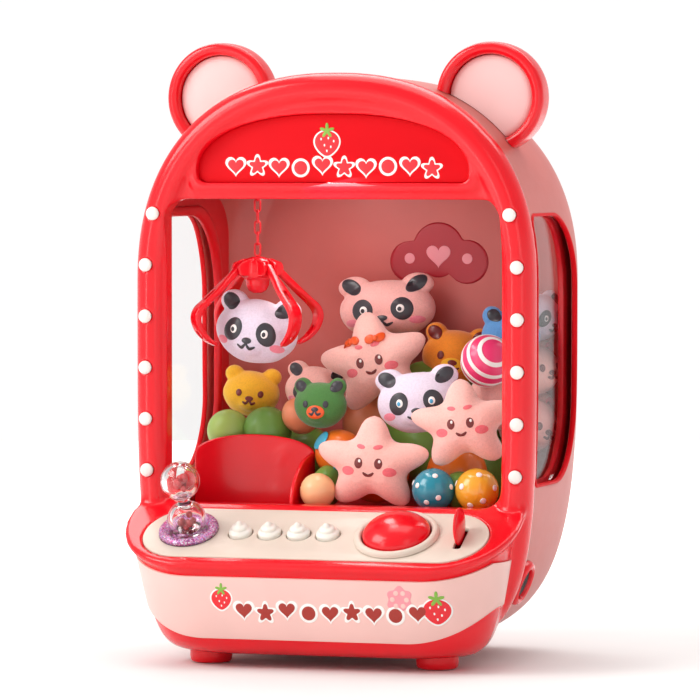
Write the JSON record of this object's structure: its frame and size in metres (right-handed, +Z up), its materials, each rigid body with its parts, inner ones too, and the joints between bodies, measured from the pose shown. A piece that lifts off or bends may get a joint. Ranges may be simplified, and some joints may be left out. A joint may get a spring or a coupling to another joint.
{
  "type": "toy claw crane machine",
  "caption": "Rounded tabletop claw crane toy with bear ears, sloping control deck, moving gantry with four-finger claw, side windows, prize chute and a pile of plush and ball prizes.",
  "frame": {"origin": "centre of the footprint at the underside of the feet", "axes": "+Z up, -Y is the front with the control deck, +X to the viewer's right"},
  "size_m": [0.254, 0.215, 0.378],
  "materials": {
    "red_plastic": "high gloss moulded plastic",
    "dark_red_plastic": "gloss moulded plastic",
    "pink_plastic": "satin gloss moulded plastic",
    "pale_pink_plastic": "satin moulded plastic",
    "cream_plastic": "satin moulded plastic",
    "white_plastic": "satin moulded plastic",
    "black_plastic": "matt moulded plastic",
    "grey_metal": "plain sheet steel",
    "clear_pane": "clear flat sheet",
    "clear_plastic": "clear moulded plastic with small red pieces inside",
    "glitter_plastic": "clear plastic over pink and violet glitter",
    "green_board": "printed circuit board",
    "pink_plush": "short pile plush",
    "pale_plush": "short pile plush",
    "lavender_plush": "short pile plush",
    "orange_plush": "short pile plush",
    "green_plush": "short pile plush",
    "yellow_plush": "short pile plush",
    "blue_plush": "short pile plush",
    "leaf_balls": "painted balls",
    "orange_balls": "painted balls",
    "teal_balls": "painted balls"
  },
  "bodies": {
    "cabinet": {"rear_shell": "pink_plastic", "front_frame": "red_plastic", "header_panel": "dark_red_plastic", "left_ear_ring": "red_plastic", "right_ear_ring": "red_plastic", "left_ear_face": "pale_pink_plastic", "right_ear_face": "pale_pink_plastic", "left_side_panel": "red_plastic", "right_side_panel": "red_plastic", "left_window_pane": "clear_pane", "right_window_pane": "clear_pane", "left_light_strip": "white_plastic", "right_light_strip": "white_plastic", "cabin_floor": "pink_plastic", "prize_chute": "red_plastic", "prize_ramp": "red_plastic", "control_deck": "cream_plastic", "front_fascia": "pale_pink_plastic", "base_cover": "pink_plastic", "battery_cover": "pink_plastic", "circuit_board": "green_board", "left_rail": "grey_metal", "right_rail": "grey_metal", "button_bezel": "cream_plastic", "speaker_bezel": "red_plastic", "speaker_grille": "black_plastic", "joystick_skirt": "glitter_plastic", "front_star": "pink_plush", "right_star": "pink_plush", "upper_star": "pink_plush", "middle_panda": "lavender_plush", "top_panda": "pale_plush", "orange_bear": "orange_plush", "dark_green_bear": "green_plush", "pink_panda": "pale_plush", "yellow_bear": "yellow_plush", "left_balls": "leaf_balls", "front_balls": "orange_balls", "right_balls": "teal_balls", "back_pile": "blue_plush"},
    "bridge": {"gantry_bridge": "grey_metal"},
    "trolley": {"trolley": "black_plastic"},
    "drum": {"winch_drum": "cream_plastic"},
    "guide": {"guide_tube": "grey_metal"},
    "claw": {"chain": "red_plastic", "claw_hub": "red_plastic", "held_panda": "lavender_plush"},
    "finger_1": {"finger_1": "red_plastic"},
    "finger_2": {"finger_2": "red_plastic"},
    "finger_3": {"finger_3": "red_plastic"},
    "finger_4": {"finger_4": "red_plastic"},
    "joystick_gimbal": {"joystick_gimbal": "grey_metal"},
    "joystick": {"joystick_knob": "clear_plastic"},
    "button_1": {"button_1": "white_plastic"},
    "button_2": {"button_2": "white_plastic"},
    "button_3": {"button_3": "white_plastic"},
    "button_4": {"button_4": "white_plastic"},
    "drop_button": {"drop_button": "red_plastic"},
    "coin": {"coin": "red_plastic"},
    "outlet_flap": {"outlet_flap": "pale_pink_plastic"}
  },
  "joints": [
    {"name": "claw_y", "type": "slide", "parent": "cabinet", "child": "bridge", "axis": [0, 1, 0], "range_m": [0, 0.036]},
    {"name": "claw_x", "type": "slide", "parent": "bridge", "child": "trolley", "axis": [1, 0, 0], "range_m": [0, 0.096]},
    {"name": "hoist", "type": "slide", "parent": "trolley", "child": "claw", "axis": [0, 0, 1], "range_m": [-0.024, 0.028]},
    {"name": "guide_slide", "type": "slide", "parent": "trolley", "child": "guide", "axis": [0, 0, 1], "range_m": [-0.0121, 0.0141]},
    {"name": "drum_spin", "type": "hinge", "parent": "trolley", "child": "drum", "pos_m": [-0.063, 0.0174, 0.319], "axis": [1, 0, 0], "range_deg": [-180, 154]},
    {"name": "finger_1_hinge", "type": "hinge", "parent": "claw", "child": "finger_1", "pos_m": [-0.05342, -0.00404, 0.2385], "axis": [-0.6428, -0.766, 0], "range_deg": [0, 14]},
    {"name": "finger_2_hinge", "type": "hinge", "parent": "claw", "child": "finger_2", "pos_m": [-0.05496, 0.01358, 0.2385], "axis": [0.766, -0.6428, 0], "range_deg": [0, 14]},
    {"name": "finger_3_hinge", "type": "hinge", "parent": "claw", "child": "finger_3", "pos_m": [-0.07258, 0.01204, 0.2385], "axis": [0.6428, 0.766, 0], "range_deg": [0, 14]},
    {"name": "finger_4_hinge", "type": "hinge", "parent": "claw", "child": "finger_4", "pos_m": [-0.07104, -0.00558, 0.2385], "axis": [-0.766, 0.6428, 0], "range_deg": [0, 14]},
    {"name": "joystick_tilt", "type": "hinge", "parent": "cabinet", "child": "joystick_gimbal", "pos_m": [-0.08, -0.07373, 0.07605], "axis": [1, 0, 0], "range_deg": [-8, 8], "stiffness_Nm_per_rad": 0.4},
    {"name": "joystick_lean", "type": "hinge", "parent": "joystick_gimbal", "child": "joystick", "pos_m": [-0.08, -0.07373, 0.07605], "axis": [0, 0.891, 0.454], "range_deg": [-8, 8], "stiffness_Nm_per_rad": 0.4},
    {"name": "button_1_press", "type": "slide", "parent": "cabinet", "child": "button_1", "axis": [0, 0.454, -0.891], "range_m": [0, 0.002], "stiffness_N_per_m": 200},
    {"name": "button_2_press", "type": "slide", "parent": "cabinet", "child": "button_2", "axis": [0, 0.454, -0.891], "range_m": [0, 0.002], "stiffness_N_per_m": 200},
    {"name": "button_3_press", "type": "slide", "parent": "cabinet", "child": "button_3", "axis": [0, 0.454, -0.891], "range_m": [0, 0.002], "stiffness_N_per_m": 200},
    {"name": "button_4_press", "type": "slide", "parent": "cabinet", "child": "button_4", "axis": [0, 0.454, -0.891], "range_m": [0, 0.002], "stiffness_N_per_m": 200},
    {"name": "drop_button_press", "type": "slide", "parent": "cabinet", "child": "drop_button", "axis": [0, 0.454, -0.891], "range_m": [0, 0.004], "stiffness_N_per_m": 600},
    {"name": "coin_slide", "type": "slide", "parent": "cabinet", "child": "coin", "axis": [0, 0.454, -0.891], "range_m": [0, 0.012]},
    {"name": "flap_hinge", "type": "hinge", "parent": "cabinet", "child": "outlet_flap", "pos_m": [-0.1198, 0, 0.0792], "axis": [0, 1, 0], "range_deg": [0, 60]}
  ],
  "couplings": [
    {"joint": "guide_slide", "follows": "hoist", "ratio": 0.5},
    {"joint": "drum_spin", "follows": "hoist", "rad_per_m": -111},
    {"joint": "finger_2_hinge", "follows": "finger_1_hinge", "ratio": 1},
    {"joint": "finger_3_hinge", "follows": "finger_1_hinge", "ratio": 1},
    {"joint": "finger_4_hinge", "follows": "finger_1_hinge", "ratio": 1}
  ]
}
